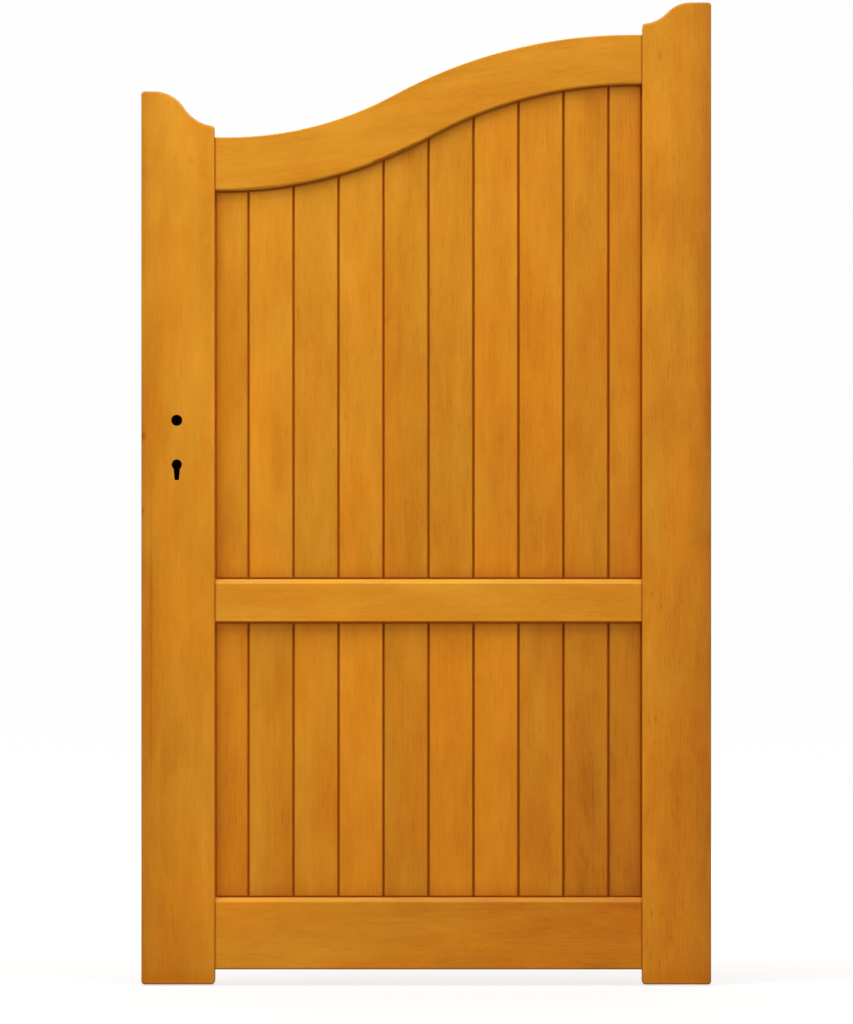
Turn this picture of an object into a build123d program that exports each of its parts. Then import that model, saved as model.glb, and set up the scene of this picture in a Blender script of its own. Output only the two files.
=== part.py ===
"""A framed and boarded garden gate leaf with a mortise lock.

+Z is up and the front faces -Y. The origin is on the outer edge of the hinge stile, halfway through
its thickness and level with the middle of the bottom rail, where the lower hinge is fixed.
"""

import os
from math import atan2, copysign, degrees, sin

from build123d import *

# Leaf and stiles, in millimetres
gate_width = 900.0
lock_stile_width = 116.0
hinge_stile_width = 109.0
stile_thickness = 45.0
stile_corner = 5.0
stile_arris = 3.0
foot_length = 23.5

# Stile heads: a level top by the outer edge, then an ogee that runs out past the inner edge
shoulder_rise = 17.0
shoulder_flat = 6.0
lock_head_drop = 55.5
lock_head_flat = 19.5
lock_head_overrun = 5.5
hinge_head_drop = 34.0
hinge_head_flat = 32.5
hinge_head_overrun = 1.5
head_hollow_share = 0.53

# Rails; a rise is measured from the stiles' feet
rail_thickness = 40.0
bottom_rail_height = 113.5
middle_rail_rise = 572.5
middle_rail_height = 67.5
weathering = 6.2
weathering_round = 5.0
rail_arris = 3.0
crown_arris = 2.0
sweep_arris = 4.5
shoulder_relief = 1.4

# Top rail: a swan neck from the lock stile up to the hinge stile
top_rail_rise = 1338.0
sweep_rise = 162.0
top_rail_low_height = 85.0
top_rail_high_height = 79.0
upper_low_flat = 19.5
upper_high_flat = 17.0
upper_hollow_share = 0.413
lower_flat = 13.0
lower_hollow_share = 0.5

# Mortises, tenons and the groove that houses the boards' thin rims
groove_depth = 12.0
rim_thickness = 12.0
panel_clearance = 0.25
panel_reveal = 2.8
tenon_thickness = 14.0
tenon_length = 60.0
tenon_shoulder = 15.0
glue_gap = 2.0

# Tongue-and-groove boards
board_thickness = 20.0
board_pitch = 71.1
board_reveal = 3.0
board_arris = 1.2
board_gap = 2.0
tongue_thickness = 8.0
tongue_length = 8.4
tongue_slot = 8.0
tongue_clearance = 0.2

# Mortise lock and the holes that serve it
backset = 56.0
spindle_rise = 891.0
lock_centres = 70.0
spindle_bore_radius = 8.8
keyhole_radius = 8.2
key_slot_top = 11.0
key_slot_foot = 7.2
key_slot_drop = 24.5
case_thickness = 16.0
case_depth = 78.0
case_margin = 48.0
case_clearance = 0.25
forend_width = 22.0
forend_thickness = 3.0
forend_overlap = 32.0
socket_depth = 5.0
spindle_square = 8.0
bolt_thickness = 10.0
bolt_reach = 30.0
latch_height = 30.0
dead_bolt_height = 36.0

# Places that follow from the sizes above
lock_edge = -gate_width
panel_left = lock_edge + lock_stile_width
panel_right = -hinge_stile_width
panel_width = panel_right - panel_left
foot = -foot_length - bottom_rail_height / 2
bottom_rail_low = foot + foot_length
bottom_rail_high = bottom_rail_low + bottom_rail_height
middle_rail_low = foot + middle_rail_rise
middle_rail_high = middle_rail_low + middle_rail_height
sweep_low = foot + top_rail_rise
sweep_high = sweep_low + sweep_rise
underside_low = sweep_low - top_rail_low_height
underside_high = sweep_high - top_rail_high_height
groove_width = rim_thickness + 2 * panel_clearance
mortise_width = tenon_thickness + 2 * panel_clearance
slot_width = tongue_thickness + 2 * tongue_clearance
board_foot = bottom_rail_high - groove_depth
bottom_tenon = (bottom_rail_low + tenon_shoulder, board_foot)
middle_tenon = (middle_rail_low + groove_depth, middle_rail_high - groove_depth)
low_tenon = (underside_low + groove_depth, sweep_low - tenon_shoulder)
high_tenon = (underside_high + groove_depth, sweep_high - tenon_shoulder)
spindle_x = lock_edge + backset
spindle_z = foot + spindle_rise
key_z = spindle_z - lock_centres
case_face = lock_edge + forend_thickness
case_height = lock_centres + 2 * case_margin
case_z = (spindle_z + key_z) / 2
bolt_slot = bolt_thickness + 2 * case_clearance
bolts = {"latch_bolt": (spindle_z, latch_height), "dead_bolt": (key_z, dead_bolt_height)}

os.makedirs("parts", exist_ok=True)


def keep(piece, name):
    """Label a finished piece and write it out."""
    piece.label = name
    export_step(piece, f"parts/{name}.step")


def swan_neck(low_end, high_end, low_flat, high_flat, hollow_share, lift=0.0):
    """A level line, a hollow arc, a round arc and a level line; lift moves it square to itself."""
    way = copysign(1, high_end[0] - low_end[0])
    run = abs(high_end[0] - low_end[0]) - low_flat - high_flat
    turn = 2 * atan2(high_end[1] - low_end[1], run)
    radii = run / sin(turn)
    start = Vector(low_end[0], low_end[1] + lift)
    finish = Vector(high_end[0], high_end[1] + lift)
    with BuildLine() as neck:
        level = Line(start, start + Vector(way * low_flat, 0))
        hollow = JernArc(level @ 1, level % 1, hollow_share * radii - lift, way * degrees(turn))
        crown = JernArc(hollow @ 1, hollow % 1, (1 - hollow_share) * radii + lift, -way * degrees(turn))
        Line(crown @ 1, finish)
    return neck.line


def stile_blank(outer, inner, head_flat, head_drop, head_overrun, rail_top, groove_top, tenons):
    """One stile with its shaped head, eased edges, board groove and rail mortises."""
    way = copysign(1, inner - outer)
    shoulder = rail_top + shoulder_rise
    top = shoulder + head_drop
    past = inner + way * (head_overrun + shoulder_flat)
    with BuildPart() as stile:
        with BuildSketch(Plane.XZ) as outline:
            with BuildLine():
                add(swan_neck((past, shoulder), (outer, top), shoulder_flat, head_flat, head_hollow_share))
                Polyline((outer, top), (outer, foot), (past, foot), (past, shoulder))
            make_face()
            with Locations(((outer + inner) / 2, (foot + top) / 2)):
                Rectangle(abs(inner - outer), top - foot, mode=Mode.INTERSECT)
            corners = outline.vertices().group_by(Axis.X)
            fillet(corners[0] + corners[-1], stile_corner)
        extrude(amount=stile_thickness / 2, both=True)
        sides = stile.faces().sort_by(Axis.Y)
        fillet(sides[0].edges() + sides[-1].edges(), stile_arris)
        with BuildSketch(Plane.YZ.offset(inner)):
            with Locations((0, (board_foot + groove_top) / 2)):
                Rectangle(groove_width, groove_top - board_foot)
        extrude(amount=-way * groove_depth, mode=Mode.SUBTRACT)
        with BuildSketch(Plane.YZ.offset(inner)):
            for low, high in tenons:
                with Locations((0, (low + high) / 2)):
                    Rectangle(mortise_width, high - low)
        extrude(amount=-way * (tenon_length + glue_gap), mode=Mode.SUBTRACT)
    return stile.part


def keyhole(grow=0.0):
    """The outline of the keyhole, a round with a tapered slot below it."""
    top = key_slot_top / 2 + grow
    end = key_slot_foot / 2 + grow
    drop = key_slot_drop + grow
    with BuildSketch() as hole:
        with Locations((spindle_x, key_z)):
            Circle(keyhole_radius + grow)
            Polygon((-top, 0), (-end, -drop), (end, -drop), (top, 0), align=None)
    return hole.sketch


def relieve_shoulders(low, high):
    """Four upright wedges that ease the ends of a rail where it meets the stiles."""
    with BuildPart() as wedges:
        with BuildSketch(Plane.XY.offset(low)):
            with Locations(((panel_left + panel_right) / 2, 0)):
                with GridLocations(panel_width, rail_thickness, 2, 2):
                    Rectangle(shoulder_relief, shoulder_relief, rotation=45)
        extrude(amount=high - low)
    return wedges.part


def level_rail(low, high, tenon, grooved_below):
    """A straight rail with weathered upper edges, grooves for the boards and a tenon at each end."""
    relief = relieve_shoulders(low, high)
    with BuildPart() as rail:
        with BuildSketch(Plane.YZ.offset(panel_left)) as section:
            with Locations((0, (low + high) / 2)):
                Rectangle(rail_thickness, high - low)
            chamfer(section.vertices().group_by(Axis.Y)[-1], weathering)
            levels = section.vertices().group_by(Axis.Y)
            fillet(levels[-2] + levels[-1], weathering_round)
            fillet(section.vertices().group_by(Axis.Y)[0], rail_arris)
            with Locations((0, high)):
                Rectangle(groove_width, 2 * groove_depth, mode=Mode.SUBTRACT)
            if grooved_below:
                with Locations((0, low)):
                    Rectangle(groove_width, 2 * groove_depth, mode=Mode.SUBTRACT)
        extrude(amount=panel_width)
        add(relief, mode=Mode.SUBTRACT)
        with BuildSketch(Plane.YZ.offset(panel_left - tenon_length)):
            with Locations((0, sum(tenon) / 2)):
                Rectangle(tenon_thickness, tenon[1] - tenon[0])
        extrude(amount=panel_width + 2 * tenon_length)
    return rail.part


def swept_panel(grow, base):
    """The upper panel seen from the front, grown past the opening at its sides and the swan neck."""
    left = panel_left - grow
    right = panel_right + grow
    flat = lower_flat + grow
    low_end = (left, underside_low)
    high_end = (right, underside_high)
    with BuildSketch() as panel:
        with BuildLine():
            add(swan_neck(low_end, high_end, flat, flat, lower_hollow_share, grow))
            Polyline(
                (left, underside_low + grow),
                (left, base),
                (right, base),
                (right, underside_high + grow),
            )
        make_face()
    return panel.sketch


def level_panel(grow, base, top):
    """The lower panel seen from the front, grown past the frame's opening at the sides."""
    with BuildSketch() as panel:
        with Locations(((panel_left + panel_right) / 2, (base + top) / 2)):
            Rectangle(panel_width + 2 * grow, top - base)
    return panel.sketch


def rimmed_panel(outline, field):
    """A whole panel: a thin rim that enters the grooves, and a field at the boards' full thickness."""
    with BuildPart() as panel:
        for shape, thickness in ((outline, rim_thickness), (field, board_thickness)):
            with BuildSketch(Plane.XZ):
                add(shape)
            extrude(amount=thickness / 2, both=True)
    return panel.part


hinge_stile = stile_blank(
    0.0,
    panel_right,
    hinge_head_flat,
    hinge_head_drop,
    hinge_head_overrun,
    sweep_high,
    high_tenon[0],
    (bottom_tenon, middle_tenon, high_tenon),
)
keep(hinge_stile, "hinge_stile")

lock_blank = stile_blank(
    lock_edge,
    panel_left,
    lock_head_flat,
    lock_head_drop,
    lock_head_overrun,
    sweep_low,
    low_tenon[0],
    (bottom_tenon, middle_tenon, low_tenon),
)
forend_length = case_height + 2 * forend_overlap
with BuildPart() as lock_stile:
    add(lock_blank)
    with BuildSketch(Plane.YZ.offset(lock_edge)):
        with Locations((0, case_z)):
            Rectangle(case_thickness + 2 * case_clearance, case_height + 2 * case_clearance)
    extrude(amount=forend_thickness + case_depth + case_clearance, mode=Mode.SUBTRACT)
    with BuildSketch(Plane.YZ.offset(lock_edge)):
        with Locations((0, case_z)):
            SlotOverall(forend_length + 2 * case_clearance, forend_width + 2 * case_clearance, rotation=90)
    extrude(amount=forend_thickness, mode=Mode.SUBTRACT)
    with BuildSketch(Plane.XZ):
        add(keyhole())
        with Locations((spindle_x, spindle_z)):
            Circle(spindle_bore_radius)
    extrude(amount=stile_thickness / 2, both=True, mode=Mode.SUBTRACT)
keep(lock_stile.part, "lock_stile")

keep(level_rail(bottom_rail_low, bottom_rail_high, bottom_tenon, False), "bottom_rail")
keep(level_rail(middle_rail_low, middle_rail_high, middle_tenon, True), "middle_rail")

sweep_relief = relieve_shoulders(underside_low, sweep_high)
with BuildPart() as top_rail:
    with BuildSketch(Plane.XZ):
        with BuildLine():
            add(
                swan_neck(
                    (panel_left, sweep_low),
                    (panel_right, sweep_high),
                    upper_low_flat,
                    upper_high_flat,
                    upper_hollow_share,
                )
            )
            add(
                swan_neck(
                    (panel_left, underside_low),
                    (panel_right, underside_high),
                    lower_flat,
                    lower_flat,
                    lower_hollow_share,
                )
            )
            Line((panel_left, underside_low), (panel_left, sweep_low))
            Line((panel_right, underside_high), (panel_right, sweep_high))
        make_face()
    extrude(amount=rail_thickness / 2, both=True)
    for way, arris in ((1, crown_arris), (-1, sweep_arris)):
        skin = top_rail.faces().filter_by(Axis.X, reverse=True).filter_by(Axis.Y, reverse=True)
        turned = ShapeList(face for face in skin if way * face.normal_at().Z > 0)
        fillet(turned.edges().filter_by(Axis.Y, reverse=True), arris)
    add(sweep_relief, mode=Mode.SUBTRACT)
    with BuildSketch(Plane.XZ):
        add(swept_panel(groove_depth, middle_tenon[1]))
    extrude(amount=groove_width / 2, both=True, mode=Mode.SUBTRACT)
    for end, (low, high), way in ((panel_left, low_tenon, -1), (panel_right, high_tenon, 1)):
        with BuildSketch(Plane.YZ.offset(end)):
            with Locations((0, (low + high) / 2)):
                Rectangle(tenon_thickness, high - low)
        extrude(amount=way * tenon_length)
keep(top_rail.part, "top_rail")

# Whole boards fill the middle of the panel, and two narrower ones its edges
whole_boards = int((panel_width - board_pitch) // board_pitch)
edge_board = (panel_width - whole_boards * board_pitch) / 2
joints = [panel_left + edge_board + board_pitch * count for count in range(whole_boards + 1)]
rim_width = groove_depth - board_gap
lefts = [panel_left - rim_width] + [joint + board_reveal / 2 for joint in joints]
rights = [joint - board_reveal / 2 for joint in joints] + [panel_right + rim_width]
lower_panel = rimmed_panel(
    level_panel(rim_width, board_foot, middle_rail_low + rim_width),
    level_panel(-panel_reveal, bottom_rail_high + panel_reveal, middle_rail_low - panel_reveal),
)
upper_panel = rimmed_panel(
    swept_panel(rim_width, middle_tenon[1]),
    swept_panel(-panel_reveal, middle_rail_high + panel_reveal),
)
panels = (
    ("lower", lower_panel, board_foot, middle_tenon[0]),
    ("upper", upper_panel, middle_tenon[1], underside_high + groove_depth),
)

for name, panel, low, high in panels:
    for number, (left, right) in enumerate(zip(lefts, rights), 1):
        with BuildPart() as board:
            with BuildSketch(Plane.XY.offset(low)) as section:
                with Locations(((left + right) / 2, 0)):
                    Rectangle(right - left, board_thickness)
                chamfer(section.vertices(), board_arris)
                if number > 1:
                    with Locations((left, 0)):
                        Rectangle(2 * tongue_slot, slot_width, mode=Mode.SUBTRACT)
                if number < len(rights):
                    with Locations((right, 0)):
                        Rectangle(2 * tongue_length, tongue_thickness)
            extrude(amount=high - low)
            add(panel, mode=Mode.INTERSECT)
        keep(board.part, f"{name}_board_{number:02d}")

with BuildPart() as lock_case:
    with BuildSketch(Plane.YZ.offset(case_face)):
        with Locations((0, case_z)):
            Rectangle(case_thickness, case_height)
    extrude(amount=case_depth)
    with BuildSketch(Plane.YZ.offset(case_face)):
        for height, length in bolts.values():
            with Locations((0, height)):
                Rectangle(bolt_slot, length + 2 * case_clearance)
    extrude(amount=bolt_reach + case_clearance, mode=Mode.SUBTRACT)
    for side in (1, -1):
        with BuildSketch(Plane.XZ.offset(side * case_thickness / 2)):
            add(keyhole(-case_clearance))
            with Locations((spindle_x, spindle_z)):
                Rectangle(spindle_square, spindle_square)
        extrude(amount=-side * socket_depth, mode=Mode.SUBTRACT)
keep(lock_case.part, "lock_case")

with BuildPart() as lock_forend:
    with BuildSketch(Plane.YZ.offset(lock_edge)):
        with Locations((0, case_z)):
            SlotOverall(forend_length, forend_width, rotation=90)
        for height, length in bolts.values():
            with Locations((0, height)):
                Rectangle(bolt_slot, length + 2 * case_clearance, mode=Mode.SUBTRACT)
    extrude(amount=forend_thickness)
keep(lock_forend.part, "lock_forend")

for name, (height, length) in bolts.items():
    with BuildPart() as bolt:
        with BuildSketch(Plane.YZ.offset(lock_edge)):
            with Locations((0, height)):
                Rectangle(bolt_thickness, length)
        extrude(amount=forend_thickness + bolt_reach)
    keep(bolt.part, name)
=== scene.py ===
"""Looks of the framed and boarded gate leaf: stained wood, lock metal, studio stage and camera."""

import math
import random

import bmesh
import bpy
from mathutils import Euler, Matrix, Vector


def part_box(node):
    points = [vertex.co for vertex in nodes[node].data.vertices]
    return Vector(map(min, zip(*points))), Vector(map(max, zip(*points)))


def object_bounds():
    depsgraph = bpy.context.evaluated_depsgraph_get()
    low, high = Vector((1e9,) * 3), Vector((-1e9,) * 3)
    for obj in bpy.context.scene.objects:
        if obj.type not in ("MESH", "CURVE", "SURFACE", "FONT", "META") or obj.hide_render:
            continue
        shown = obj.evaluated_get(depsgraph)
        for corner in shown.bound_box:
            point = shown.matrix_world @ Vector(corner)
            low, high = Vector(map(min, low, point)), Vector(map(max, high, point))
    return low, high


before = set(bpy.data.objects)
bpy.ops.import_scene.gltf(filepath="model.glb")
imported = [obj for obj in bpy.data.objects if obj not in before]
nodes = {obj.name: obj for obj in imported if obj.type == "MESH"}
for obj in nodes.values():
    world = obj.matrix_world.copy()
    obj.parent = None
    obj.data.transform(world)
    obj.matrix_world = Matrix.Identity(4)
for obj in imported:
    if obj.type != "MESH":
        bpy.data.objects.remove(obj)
cad_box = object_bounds()

# Directions and places in the gate's own frame, in metres
UP = (0.0, 0.0, 1.0)
DOWN = (0.0, 0.0, -1.0)
LEFT = (-1.0, 0.0, 0.0)
RIGHT = (1.0, 0.0, 0.0)
FOOT_Z = cad_box[0][2]
FRONT_Y = cad_box[0][1]
LEAF_LEFT = cad_box[0][0]
LEAF_RIGHT = cad_box[1][0]
PANEL_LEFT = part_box("lock_stile")[1][0]
PANEL_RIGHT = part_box("hinge_stile")[0][0]
MIDDLE = ((LEAF_LEFT + LEAF_RIGHT) / 2, 0.0, 0.69)

WHITE = (1.0, 1.0, 1.0)


# Short names for building node trees

# Numbers of the sockets on a noise node, and on a mix node whose socket names repeat
NOISE_VALUE = 0
NOISE_COLOUR = 1
MIX_FACTOR = 0
MIX_FIRST = 6
MIX_SECOND = 7
MIX_RESULT = 2


def feed(tree, socket, value):
    """Link a socket, or set its own value."""
    if isinstance(value, bpy.types.NodeSocket):
        tree.links.new(value, socket)
    else:
        socket.default_value = value


def add(tree, kind, inputs=None, **settings):
    """A new node with its settings and the inputs given by name or number."""
    node = tree.nodes.new(kind)
    for name, value in settings.items():
        setattr(node, name, value)
    for key, value in (inputs or {}).items():
        feed(tree, node.inputs[key], value)
    return node


def calc(tree, operation, *values, clamp=False):
    """Maths on numbers."""
    node = add(tree, "ShaderNodeMath", dict(enumerate(values)), operation=operation, use_clamp=clamp)
    return node.outputs[0]


def vec(tree, operation, *values):
    """Maths on vectors; a dot product and a length come out as numbers."""
    node = add(tree, "ShaderNodeVectorMath", dict(enumerate(values)), operation=operation)
    return node.outputs["Value" if operation in ("DOT_PRODUCT", "LENGTH") else "Vector"]


def noise(tree, place, waves, detail=2.0, roughness=0.5, out=NOISE_VALUE):
    """Noise with so many waves per metre along X, Y and Z."""
    inputs = {
        "Vector": vec(tree, "MULTIPLY", place, waves),
        "Scale": 1.0,
        "Detail": detail,
        "Roughness": roughness,
    }
    return add(tree, "ShaderNodeTexNoise", inputs).outputs[out]


def span(tree, value, low, high, to_low=0.0, to_high=1.0, smooth=True):
    """Map a range of a value to another range."""
    node = add(
        tree,
        "ShaderNodeMapRange",
        {"Value": value, "From Min": low, "From Max": high, "To Min": to_low, "To Max": to_high},
        interpolation_type="SMOOTHSTEP" if smooth else "LINEAR",
    )
    return node.outputs[0]


def opaque(colour):
    """A plain colour gets its alpha, and a socket stays as it is."""
    return colour if isinstance(colour, bpy.types.NodeSocket) else (*colour, 1.0)


def ramp(tree, value, stops):
    """Colour of a value, between stops."""
    node = add(tree, "ShaderNodeValToRGB", {0: value})
    points = node.color_ramp.elements
    while len(points) < len(stops):
        points.new(1.0)
    for point, (place, colour) in zip(points, stops):
        point.position = place
        point.color = opaque(colour)
    return node.outputs[0]


def mix(tree, factor, first, second, blend="MIX"):
    """Blend two colours, each a socket or a plain colour."""
    inputs = {MIX_FACTOR: factor, MIX_FIRST: opaque(first), MIX_SECOND: opaque(second)}
    return add(tree, "ShaderNodeMix", inputs, data_type="RGBA", blend_type=blend).outputs[MIX_RESULT]


def new_material(name):
    """A new material with its node tree and its shader."""
    material = bpy.data.materials.new(name)
    material.use_nodes = True
    tree = material.node_tree
    return material, tree, tree.nodes["Principled BSDF"]


def raise_surface(tree, shader, height, strength, distance):
    """Fine relief from a height."""
    bump = add(tree, "ShaderNodeBump", {"Strength": strength, "Distance": distance, "Height": height})
    feed(tree, shader.inputs["Normal"], bump.outputs[0])


def dress(name, material):
    """Give a piece its one material."""
    nodes[name].data.materials.clear()
    nodes[name].data.materials.append(material)


# Stained wood

# Colours from dark to light, where the stain is golden and where it is redder
GOLD_STOPS = (
    (0.00, (0.200, 0.040, 0.0010)),
    (0.30, (0.490, 0.162, 0.0050)),
    (0.50, (0.612, 0.238, 0.0110)),
    (0.75, (0.755, 0.322, 0.0220)),
    (1.00, (0.890, 0.415, 0.0360)),
)
EMBER_STOPS = (
    (0.00, (0.210, 0.030, 0.0005)),
    (0.30, (0.505, 0.133, 0.0020)),
    (0.50, (0.630, 0.200, 0.0050)),
    (0.75, (0.770, 0.276, 0.0110)),
    (1.00, (0.900, 0.360, 0.0220)),
)

# Painted shade in corners, joints and gaps, from ambient occlusion: a darker, more saturated colour where
# the place is closed in, like light bounced inside a gap
CORNER_SHADE_STOPS = (
    (0.40, (0.720, 0.245, 0.0010)),
    (0.65, (0.500, 0.132, 0.0010)),
)
CORNER_SHADE_REACH = 0.035
CORNER_SHADE_OPEN = 0.95
CORNER_SHADE_CLOSED = 0.40
CORNER_SHADE_SAMPLES = 8

# Shades that multiply the colour along edges: darker, painted shade in gaps, and painted light that lifts
# shaded gaps and undersides; and how fast they fall off
DARKENING = (0.70, 0.62, 0.50)
PAINTED_GAP_SHADE = (0.72, 0.52, 0.30)
PAINTED_LIFT = (1.50, 1.54, 1.10)
EDGE_FALL = 2.0

# Painted shade on faces towards the sky, which tones down their highlight, and stain in cross-cut ends,
# which also reaches the heads' rounded arrises as painted shade on their highlight; both by how far they
# face that way
SKYWARD_PAINTED_SHADE = (0.85, 1.00, 0.95)
SKY_FACING = (0.15, 0.75)
END_STAIN = (0.30, 0.105, 0.006)
END_DEPTH = 0.6
END_FACING = (0.25, 0.85)

# Painted shade towards the gate's foot: change of redness and of tone for each metre up the gate, redder
# and darker lower down
PAINTED_LOW_REDNESS = (0.0, 0.0, -0.35)
PAINTED_TOP_LIGHT = (0.0, 0.0, 0.045)

# Growth rings round a pith to one side of the piece's middle, each piece from its own stretch of log
PITH_REACH = (0.05, 0.13)
PITH_SHIFT = 9.0
RING_PITCH = 0.0062
RING_SWAY = (0.030, 0.030, 0.0)
RING_EDGE = 3.0
ACROSS_GRAIN = (1.0, 1.0, 0.0)

# Patterns, in waves per metre across the grain, twice, and along it
SWAY_WAVES = (7.0, 7.0, 1.4)
JITTER_WAVES = (90.0, 90.0, 4.0)
FIGURE_WAVES = (16.0, 16.0, 4.0)
STREAK_WAVES = (320.0, 320.0, 3.0)
FIBRE_WAVES = (620.0, 620.0, 45.0)
PORE_WAVES = (560.0, 560.0, 45.0)
WARMTH_WAVES = (18.0, 18.0, 4.0)
WARMTH_SHIFT = (3.7, 1.9, 5.1)
NOISE_MIDDLE = 0.5

# How far each pattern moves the tone or the redness
FIGURE_WEIGHT = 0.74
STREAK_WEIGHT = 0.08
FIBRE_WEIGHT = 0.09
LATE_WEIGHT = -0.03
PORE_WEIGHT = 0.10
PORE_EDGE = (0.68, 0.82)
WARMTH_WEIGHT = 0.3
WARMTH_EDGE = (0.3, 0.7)
SPECK_CORE_SHARE = 0.25

# Satin finish: gloss, roughness, and relief as strength and height
WOOD_SHINE = 0.25
SATIN_ROUGHNESS = 0.28
FIBRE_ROUGHNESS = 0.12
DULL_ROUGHNESS = 0.35
LATE_RELIEF = 0.3
WOOD_RELIEF = (0.10, 0.00030)


def wood_place(tree, centred, turn, seed):
    """Places in the log, with the grain along Z and the pith where the seed puts it."""
    rng = random.Random(seed)
    grain = add(tree, "ShaderNodeMapping", {"Vector": centred, "Rotation": turn}).outputs[0]
    angle = rng.uniform(0, 2 * math.pi)
    reach = rng.uniform(*PITH_REACH)
    shift = rng.uniform(-PITH_SHIFT, PITH_SHIFT)
    return vec(tree, "ADD", grain, (reach * math.cos(angle), reach * math.sin(angle), shift))


def late_wood(tree, wood):
    """The dark part of each growth ring; the rings bend a little along the length."""
    drift = noise(tree, wood, SWAY_WAVES, out=NOISE_COLOUR)
    sway = vec(tree, "SUBTRACT", drift, (NOISE_MIDDLE, NOISE_MIDDLE, NOISE_MIDDLE))
    bent = vec(tree, "ADD", wood, vec(tree, "MULTIPLY", sway, RING_SWAY))
    radius = vec(tree, "LENGTH", vec(tree, "MULTIPLY", bent, ACROSS_GRAIN))
    jitter = noise(tree, wood, JITTER_WAVES)
    phase = calc(tree, "ADD", calc(tree, "DIVIDE", radius, RING_PITCH), jitter)
    return calc(tree, "POWER", calc(tree, "FRACT", phase), RING_EDGE)


def grained(tree, level, wood, late, fibre):
    """Tone with a long soft figure, fine streaks and fibres, growth rings and pores."""
    figure = noise(tree, wood, FIGURE_WAVES, detail=6.0, roughness=0.74)
    streak = noise(tree, wood, STREAK_WAVES, detail=1.0)
    for pattern, weight in ((figure, FIGURE_WEIGHT), (streak, STREAK_WEIGHT), (fibre, FIBRE_WEIGHT)):
        swing = calc(tree, "SUBTRACT", pattern, NOISE_MIDDLE)
        level = calc(tree, "MULTIPLY_ADD", swing, weight, level)
    level = calc(tree, "MULTIPLY_ADD", late, LATE_WEIGHT, level)
    pores = noise(tree, wood, PORE_WAVES, detail=0.0)
    return calc(tree, "SUBTRACT", level, span(tree, pores, *PORE_EDGE, 0.0, PORE_WEIGHT))


def speckled(tree, level, place, specks):
    """Tone with dark specks on the front face."""
    for x, z, size, depth, form in specks:
        away = vec(tree, "MULTIPLY", vec(tree, "SUBTRACT", place, (x, FRONT_Y, z)), form)
        near = span(tree, vec(tree, "LENGTH", away), size, size * SPECK_CORE_SHARE, 0.0, depth)
        level = calc(tree, "SUBTRACT", level, near)
    return level


def redness(tree, in_gate, wood, warm):
    """Share of the redder stain, which drifts along the grain, and grows towards the gate's foot as
    painted shade.
    """
    low_down = calc(tree, "ADD", vec(tree, "DOT_PRODUCT", in_gate, PAINTED_LOW_REDNESS), warm)
    warmth = noise(tree, vec(tree, "ADD", wood, WARMTH_SHIFT), WARMTH_WAVES)
    drift = span(tree, warmth, *WARMTH_EDGE, -WARMTH_WEIGHT, WARMTH_WEIGHT)
    return calc(tree, "ADD", low_down, drift, clamp=True)


def painted_shading(tree, colour, place, bands):
    """Colour with painted shade in corners and joints from ambient occlusion, then the bands along edges:
    darker, painted shade, and painted light that lifts shade.
    """
    corners = add(tree, "ShaderNodeAmbientOcclusion", {"Distance": CORNER_SHADE_REACH}, samples=CORNER_SHADE_SAMPLES)
    openness = corners.outputs["AO"]
    corner_shade = span(tree, openness, CORNER_SHADE_OPEN, CORNER_SHADE_CLOSED, smooth=False)
    colour = mix(tree, corner_shade, colour, ramp(tree, openness, CORNER_SHADE_STOPS))
    for way, start, reach, depth, shade in bands:
        away = calc(tree, "SUBTRACT", vec(tree, "DOT_PRODUCT", place, way), start)
        near = calc(tree, "POWER", span(tree, away, 0.0, reach, 1.0, 0.0, smooth=False), EDGE_FALL)
        colour = mix(tree, calc(tree, "MULTIPLY", near, depth), colour, shade, "MULTIPLY")
    return colour


def exposed(tree, turn):
    """How far a face looks to the sky, and how far it cuts across the grain."""
    facing = add(tree, "ShaderNodeNewGeometry").outputs["Normal"]
    skyward = span(tree, vec(tree, "DOT_PRODUCT", facing, UP), *SKY_FACING)
    axis = Vector(UP)
    axis.rotate(Euler(turn).to_matrix().inverted())
    across = calc(tree, "ABSOLUTE", vec(tree, "DOT_PRODUCT", facing, tuple(axis)))
    return skyward, span(tree, across, *END_FACING)


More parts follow.
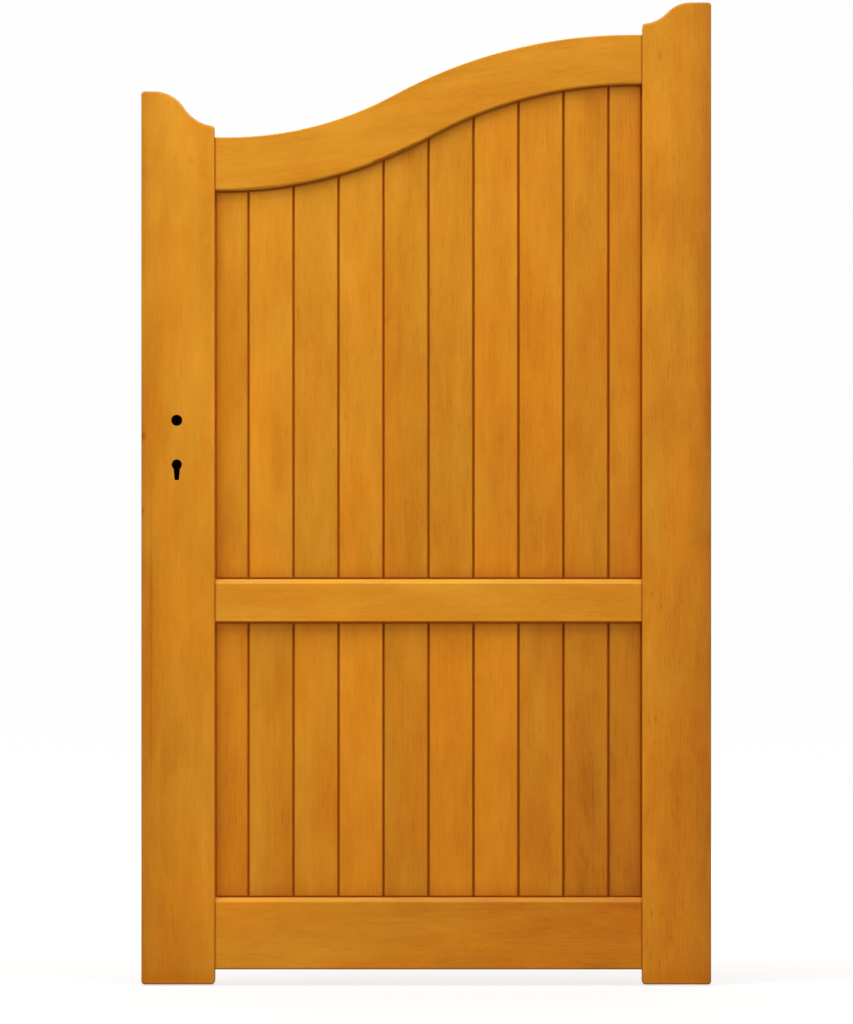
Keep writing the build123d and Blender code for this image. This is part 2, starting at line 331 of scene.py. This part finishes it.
def stained_wood(name, centre, turn, tone, warm, tilt, bands, specks, seed):
    """Satin stained wood with its grain along Z after turn, and a tone that changes by tilt per metre, a
    painted fall of light across the piece.
    """
    material, tree, shader = new_material(name)
    place = add(tree, "ShaderNodeTexCoord").outputs["Object"]
    centred = vec(tree, "SUBTRACT", place, centre)
    in_gate = vec(tree, "SUBTRACT", place, MIDDLE)
    wood = wood_place(tree, centred, turn, seed)
    late = late_wood(tree, wood)
    fibre = noise(tree, wood, FIBRE_WAVES, roughness=0.6)

    # Painted fall of light across the piece, as a change of tone per metre
    level = calc(tree, "ADD", vec(tree, "DOT_PRODUCT", centred, tilt), tone)
    # Painted light: the tone rises towards the top of the gate
    level = calc(tree, "ADD", vec(tree, "DOT_PRODUCT", in_gate, PAINTED_TOP_LIGHT), level)
    level = grained(tree, level, wood, late, fibre)
    level = speckled(tree, level, place, specks)
    gold = ramp(tree, level, GOLD_STOPS)
    ember = ramp(tree, level, EMBER_STOPS)
    colour = mix(tree, redness(tree, in_gate, wood, warm), gold, ember)
    colour = painted_shading(tree, colour, place, bands)

    # Faces towards the sky get painted shade that tones down their highlight and are rougher, and
    # cross-cut ends drink more stain, which also darkens the heads' arris highlight as painted shade
    skyward, ends = exposed(tree, turn)
    colour = mix(tree, skyward, colour, SKYWARD_PAINTED_SHADE, "MULTIPLY")
    colour = mix(tree, calc(tree, "MULTIPLY", ends, END_DEPTH), colour, END_STAIN)
    feed(tree, shader.inputs["Base Color"], colour)

    shader.inputs["Specular IOR Level"].default_value = WOOD_SHINE
    rough = calc(tree, "MULTIPLY_ADD", fibre, FIBRE_ROUGHNESS, SATIN_ROUGHNESS)
    dull = calc(tree, "MAXIMUM", ends, skyward)
    feed(tree, shader.inputs["Roughness"], calc(tree, "MULTIPLY_ADD", dull, DULL_ROUGHNESS, rough))
    height = calc(tree, "MULTIPLY_ADD", late, LATE_RELIEF, fibre)
    raise_surface(tree, shader, height, *WOOD_RELIEF)
    return material


# Looks of each piece of wood

# Turns that bring the grain to Z; the top rail's grain leans with its sweep
ALONG_Z = (0.0, 0.0, 0.0)
ALONG_X = (0.0, math.radians(-90.0), 0.0)
ALONG_SWEEP = (0.0, math.radians(-83.0), 0.0)

# Tone and redness that the steps below start from, and the size of a step
TONE = 0.50
TONE_STEP = 0.022
WARM = 0.35
WARM_STEP = 0.15

# Grain, steps of tone, steps of redness, and the change of tone per metre along X, Y and Z, a painted
# fall of light across the piece
WOOD = {
    "lock_stile": (ALONG_Z, 2.5, 0, (0.8, 0.0, 0.02)),
    "hinge_stile": (ALONG_Z, -1.8, 0.5, (-1.2, 0.0, -0.04)),
    "top_rail": (ALONG_SWEEP, 0.5, -1, (-0.06, 0.0, -0.05)),
    "middle_rail": (ALONG_X, 6, 0, (-0.15, 0.0, 0.0)),
    "bottom_rail": (ALONG_X, 0.5, 0.5, (-0.37, 0.0, 0.0)),
}

# Boards from the lock to the hinges: steps of tone, steps of redness, and change of tone per metre up, a
# painted fall of light
UPPER_LOOKS = (
    (1, 0.5, 0.10),
    (5.5, 1, 0.05),
    (1.5, -1, 0.05),
    (4, 1.5, 0.05),
    (-1, 0, 0.0),
    (-0.5, -1.5, -0.05),
    (2, 2, 0.0),
    (0, 2.5, 0.0),
    (-3.5, 0, 0.05),
    (-2, 1, -0.03),
)
LOWER_LOOKS = (
    (2, 3, 0.05),
    (1, 0, 0.0),
    (4, 1, 0.05),
    (7, 4, 0.12),
    (-1, -0.5, 0.15),
    (3.5, 4, 0.12),
    (5, 4, 0.12),
    (-0.5, 0.5, -0.08),
    (-4, -1, 0.05),
    (-5.5, -2, 0.30),
)
BOARD_COUNT = len(UPPER_LOOKS)

# A board's rim inside the rails' grooves, and its tongue inside the next board
HOUSED = 0.012
TONGUE = 0.0084

# Bands along edges: reach in metres, depth and shade
# Darker towards the stiles' outer edges
LOCK_EDGE = (0.045, 0.50, DARKENING)
HINGE_EDGE = (0.050, 0.65, DARKENING)
# Painted shade in the joint lines at the rails' shoulders
RAIL_SHOULDER = (0.005, 1.0, DARKENING)
# Painted light that lifts the shade on the middle rail's underside
RAIL_UNDERSIDE = (0.006, 1.0, PAINTED_LIFT)
# Darker towards a board's foot
BOARD_FOOT = (0.030, 0.65, DARKENING)
# Painted shade in the gap line at a board's foot
FOOT_LINE = (0.005, 0.3, PAINTED_GAP_SHADE)
# Painted shade on the lower boards below the middle rail
BOARD_HEAD = (0.080, 0.30, DARKENING)
# Painted light that lifts the gap line under the middle rail, and the gap by the lock stile
HEAD_LINE = (0.010, 1.0, PAINTED_LIFT)
FIRST_EDGE = (0.006, 0.6, PAINTED_LIFT)
# Painted shade on the last board beside the hinge stile
LAST_EDGE = (0.012, 0.45, DARKENING)

# Painted shade in the joints between the boards, which grows darker towards the hinges, by a step for
# each board
JOINT_REACH = 0.0025
JOINT_DEPTHS = {"upper": 0.15, "lower": 0.20}
JOINT_STEP = 0.058


def band(way, edge, reach, depth, shade):
    """A band that fades out along way, from an edge given by its coordinate on that axis."""
    return way, edge * sum(way), reach, depth, shade


def board_bands(panel, number, low, high):
    """Bands at a board's foot, at its head under the middle rail, and at its two long edges: darker at
    the foot, painted shade in the gap lines, the joints, below the middle rail and beside the hinge
    stile, and painted light that lifts the gap lines under the middle rail and by the lock stile.
    """
    joint = (JOINT_REACH, JOINT_DEPTHS[panel] + JOINT_STEP * number, PAINTED_GAP_SHADE)
    foot = low[2] + HOUSED
    head = high[2] - HOUSED
    bands = [band(UP, foot, *BOARD_FOOT), band(UP, foot, *FOOT_LINE)]
    if panel == "lower":
        bands += [band(DOWN, head, *BOARD_HEAD), band(DOWN, head, *HEAD_LINE)]
    if number == 1:
        bands.append(band(RIGHT, PANEL_LEFT, *FIRST_EDGE))
    else:
        bands.append(band(RIGHT, low[0], *joint))
    if number == BOARD_COUNT:
        bands.append(band(LEFT, PANEL_RIGHT, *LAST_EDGE))
    else:
        bands.append(band(LEFT, high[0] - TONGUE, *joint))
    return bands


BANDS = {
    "lock_stile": [band(RIGHT, LEAF_LEFT, *LOCK_EDGE)],
    "hinge_stile": [band(LEFT, LEAF_RIGHT, *HINGE_EDGE)],
}
for rail in ("top_rail", "middle_rail", "bottom_rail"):
    BANDS[rail] = [band(RIGHT, PANEL_LEFT, *RAIL_SHOULDER), band(LEFT, PANEL_RIGHT, *RAIL_SHOULDER)]
BANDS["middle_rail"].append(band(UP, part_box("middle_rail")[0][2], *RAIL_UNDERSIDE))
for number, looks in enumerate(zip(UPPER_LOOKS, LOWER_LOOKS), 1):
    for panel, (tone, warm, rise) in zip(("upper", "lower"), looks):
        name = f"{panel}_board_{number:02d}"
        WOOD[name] = (ALONG_Z, tone, warm, (0.0, 0.0, rise))
        BANDS[name] = board_bands(panel, number, *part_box(name))

# Forms of a speck: how much a distance from it counts along X, Y and Z
OVAL = (1.0, 0.5, 0.55)
STREAK = (1.0, 0.5, 0.012)

# Specks on the front face: X and Z, size, depth and form
SPECKS = {
    "lock_stile": (
        (-0.820, 1.221, 0.0035, 0.16, OVAL),
        (-0.803, 1.197, 0.0030, 0.14, OVAL),
        (-0.857, 1.311, 0.0040, 0.10, OVAL),
        (-0.897, 0.785, 0.0060, 0.25, OVAL),
        (-0.898, 0.668, 0.0050, 0.20, OVAL),
        (-0.885, 0.450, 0.0042, 0.12, STREAK),
    ),
    "hinge_stile": (
        (-0.094, 0.537, 0.0035, 0.14, OVAL),
        (-0.079, 0.516, 0.0030, 0.14, OVAL),
        (-0.087, 0.339, 0.0040, 0.12, OVAL),
        (-0.094, 0.032, 0.0040, 0.14, OVAL),
        (-0.081, 1.387, 0.0070, 0.09, OVAL),
    ),
}
FIRST_SEED = 11


def node_centre(name):
    """Middle of a piece's box."""
    low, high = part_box(name)
    return tuple((a + b) / 2 for a, b in zip(low, high))


for seed, (name, (turn, tone, warm, tilt)) in enumerate(WOOD.items(), FIRST_SEED):
    wood = stained_wood(
        f"wood_{name}",
        node_centre(name),
        turn,
        TONE + TONE_STEP * tone,
        WARM + WARM_STEP * warm,
        tilt,
        BANDS[name],
        SPECKS.get(name, ()),
        seed,
    )
    dress(name, wood)


# Lock metal

BLACK_LACQUER = (0.004, 0.004, 0.004)
ZINC = (0.58, 0.57, 0.55)
BRIGHT_STEEL = (0.80, 0.79, 0.77)

# Upright brush marks: waves per metre, where they turn dull, and what they add to roughness and relief
BRUSH_WAVES = (900.0, 900.0, 12.0)
BRUSH_EDGE = (0.3, 0.7)
BRUSH_DULL_SHARE = 0.82
BRUSH_ROUGHNESS = 0.18
METAL_RELIEF = (0.15, 0.0001)


def lock_metal(name, base, roughness, metallic, shine):
    """Metal or lacquer with fine upright brush marks."""
    material, tree, shader = new_material(name)
    place = add(tree, "ShaderNodeTexCoord").outputs["Object"]
    brushed = noise(tree, place, BRUSH_WAVES, detail=3.0)
    dull = tuple(part * BRUSH_DULL_SHARE for part in base)
    feed(tree, shader.inputs["Base Color"], mix(tree, span(tree, brushed, *BRUSH_EDGE), base, dull))
    rough = calc(tree, "MULTIPLY_ADD", brushed, BRUSH_ROUGHNESS, roughness)
    feed(tree, shader.inputs["Roughness"], rough)
    shader.inputs["Metallic"].default_value = metallic
    shader.inputs["Specular IOR Level"].default_value = shine
    raise_surface(tree, shader, brushed, *METAL_RELIEF)
    return material


dress("lock_case", lock_metal("case_steel", BLACK_LACQUER, roughness=0.60, metallic=0.0, shine=0.1))
dress("lock_forend", lock_metal("forend_steel", ZINC, roughness=0.34, metallic=0.5, shine=0.5))
bolt_steel = lock_metal("bolt_steel", BRIGHT_STEEL, roughness=0.22, metallic=0.6, shine=0.5)
for name in ("latch_bolt", "dead_bolt"):
    dress(name, bolt_steel)


# Stage

STAGE_GAP = 0.002
FLOOR_RADIUS = 60.0
FLOOR_SIDES = 96
FLOOR_GREY = (0.20, 0.19, 0.18)
FLOOR_ROUGHNESS = 0.9

# The pale floor's own glow, which grows with the distance from the gate
GLOW_REACH = (1.0, 6.0)
GLOW_NEAR = 0.73
GLOW_FAR = 0.96


def floor_paint():
    """Pale floor: grey under the lights, with a glow that only the camera sees."""
    material, tree, shader = new_material("floor_paint")
    seen = add(tree, "ShaderNodeLightPath").outputs["Is Camera Ray"]
    away = vec(tree, "LENGTH", add(tree, "ShaderNodeTexCoord").outputs["Object"])
    glow = span(tree, away, *GLOW_REACH, GLOW_NEAR, GLOW_FAR)
    shader.inputs["Base Color"].default_value = opaque(FLOOR_GREY)
    shader.inputs["Emission Color"].default_value = opaque(WHITE)
    feed(tree, shader.inputs["Emission Strength"], calc(tree, "MULTIPLY", seen, glow))
    shader.inputs["Roughness"].default_value = FLOOR_ROUGHNESS
    shader.inputs["Specular IOR Level"].default_value = 0.0
    return material


floor_mesh = bpy.data.meshes.new("floor")
shape = bmesh.new()
bmesh.ops.create_circle(shape, cap_ends=True, segments=FLOOR_SIDES, radius=FLOOR_RADIUS)
shape.to_mesh(floor_mesh)
shape.free()
floor_mesh.materials.append(floor_paint())
floor = bpy.data.objects.new("floor", floor_mesh)
floor.location = (MIDDLE[0], MIDDLE[1], FOOT_Z - STAGE_GAP)
bpy.context.collection.objects.link(floor)


# Light

# Strength of the white surroundings as light on the gate, and as the camera sees them
ROOM_LIGHT = 0.16
BACKDROP_LIGHT = 0.991

world = bpy.data.worlds.new("studio")
bpy.context.scene.world = world
world.use_nodes = True
backdrop = world.node_tree.nodes["Background"]
seen = add(world.node_tree, "ShaderNodeLightPath").outputs["Is Camera Ray"]
strength = span(world.node_tree, seen, 0.0, 1.0, ROOM_LIGHT, BACKDROP_LIGHT, smooth=False)
feed(world.node_tree, backdrop.inputs["Color"], opaque(WHITE))
feed(world.node_tree, backdrop.inputs["Strength"], strength)

# Name, turn from the front to the right and lift in degrees, distance and size in metres, and power
SOFTBOXES = (
    ("key", -50.0, 32.0, 5.5, 4.2, 176.0),
    ("top", -10.0, 74.0, 5.0, 2.8, 220.0),
    ("fill", 42.0, 24.0, 6.0, 6.0, 201.0),
    ("rear", 180.0, 35.0, 5.0, 6.0, 270.0),
)


def softbox(name, turn, lift, distance, size, power):
    """A square light that faces the gate's middle."""
    lamp = bpy.data.lights.new(name, "AREA")
    lamp.size = size
    lamp.energy = power
    round_to = math.radians(turn)
    up_to = math.radians(lift)
    level = math.cos(up_to)
    back = Vector((math.sin(round_to) * level, -math.cos(round_to) * level, math.sin(up_to)))
    holder = bpy.data.objects.new(name, lamp)
    holder.location = Vector(MIDDLE) + back * distance
    holder.rotation_euler = back.to_track_quat("Z", "Y").to_euler()
    bpy.context.collection.objects.link(holder)


for row in SOFTBOXES:
    softbox(*row)


# Camera, square to the front face

# Picture height at the front face, and the camera's distance, place across and rise over the foot
FRAME_HEIGHT = 1.6170
CAMERA_DISTANCE = 14.0
CAMERA_X = -0.4496
CAMERA_RISE = 0.7461
LOOK_AHEAD = (math.radians(90.0), 0.0, 0.0)
SENSOR = 36.0
CLIP_END = 200.0

camera = bpy.data.cameras.new("camera")
camera.sensor_width = SENSOR
camera.lens = SENSOR * CAMERA_DISTANCE / FRAME_HEIGHT
camera.clip_end = CLIP_END
viewer = bpy.data.objects.new("camera", camera)
viewer.location = (CAMERA_X, FRONT_Y - CAMERA_DISTANCE, FOOT_Z + CAMERA_RISE)
viewer.rotation_euler = LOOK_AHEAD
bpy.context.collection.objects.link(viewer)
bpy.context.scene.camera = viewer
bpy.context.scene.view_settings.view_transform = "Standard"
